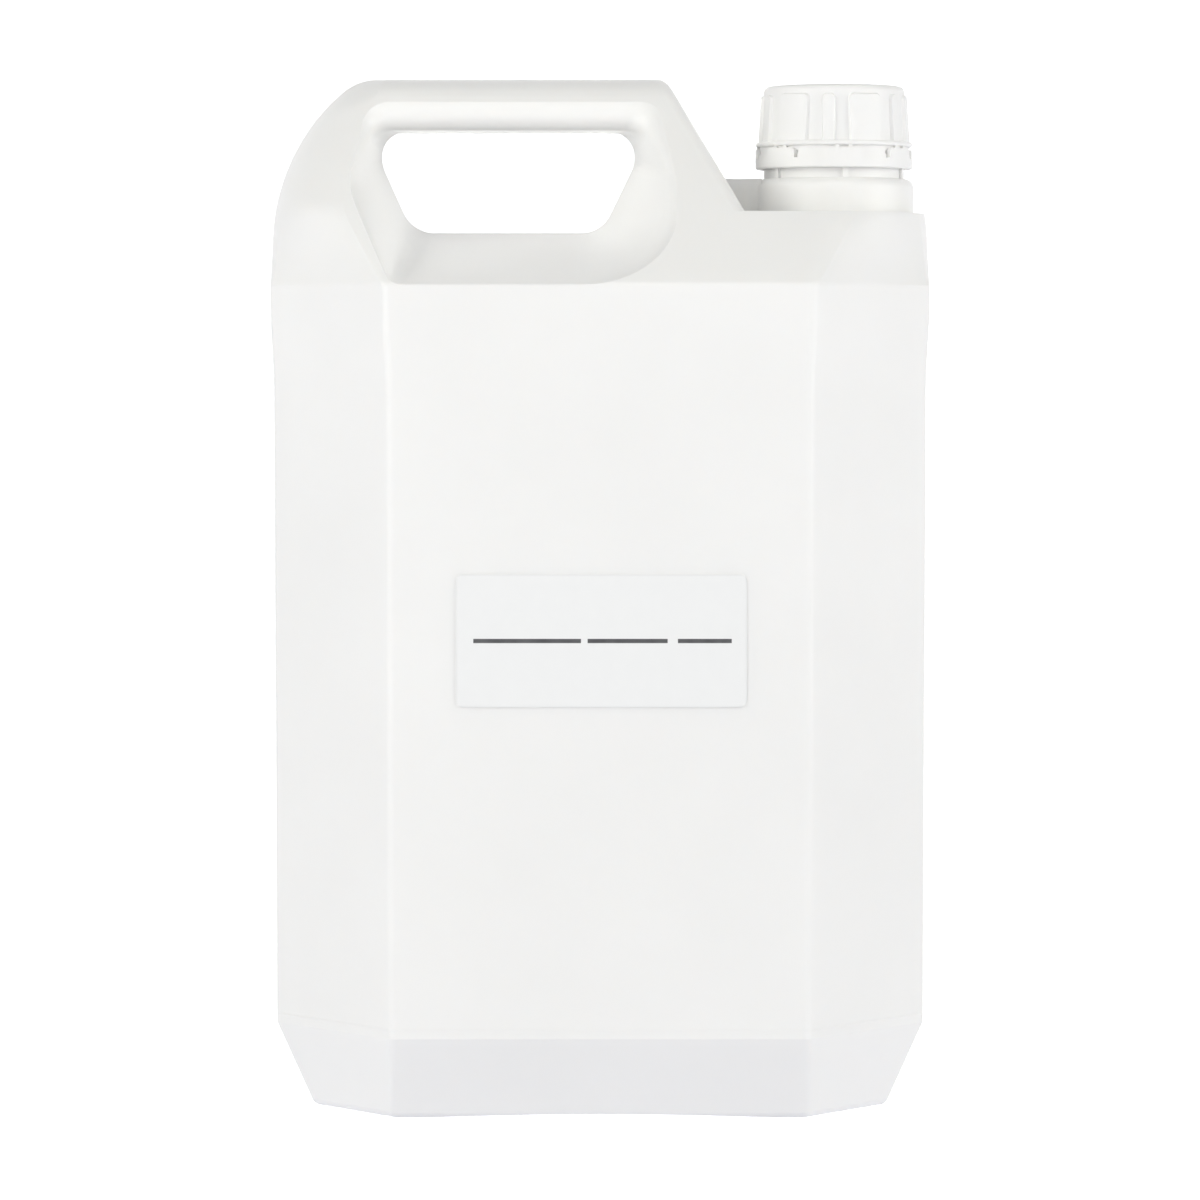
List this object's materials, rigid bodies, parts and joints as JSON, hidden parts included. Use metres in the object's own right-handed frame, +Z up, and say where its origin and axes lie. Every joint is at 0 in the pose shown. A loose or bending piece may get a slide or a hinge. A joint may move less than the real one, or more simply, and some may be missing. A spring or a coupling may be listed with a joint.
{
  "type": "syrup jug",
  "caption": "White five-litre plastic jerrycan with a handle along the top, a ribbed screw cap over a tamper band, and a plain label on the front.",
  "frame": {"origin": "centre of the footprint, on the surface that the jug stands on", "axes": "+Z up, +X from the handle towards the neck, -Y out of the labelled front"},
  "size_m": [0.19, 0.1252, 0.2975],
  "materials": {
    "natural_polyethylene": "satin, fine moulded grain",
    "cap_polyethylene": "satin",
    "label_film": "smooth, satin"
  },
  "bodies": {
    "root": {"jug_body": "natural_polyethylene", "screw_cap": "cap_polyethylene", "label": "label_film"}
  },
  "joints": []
}
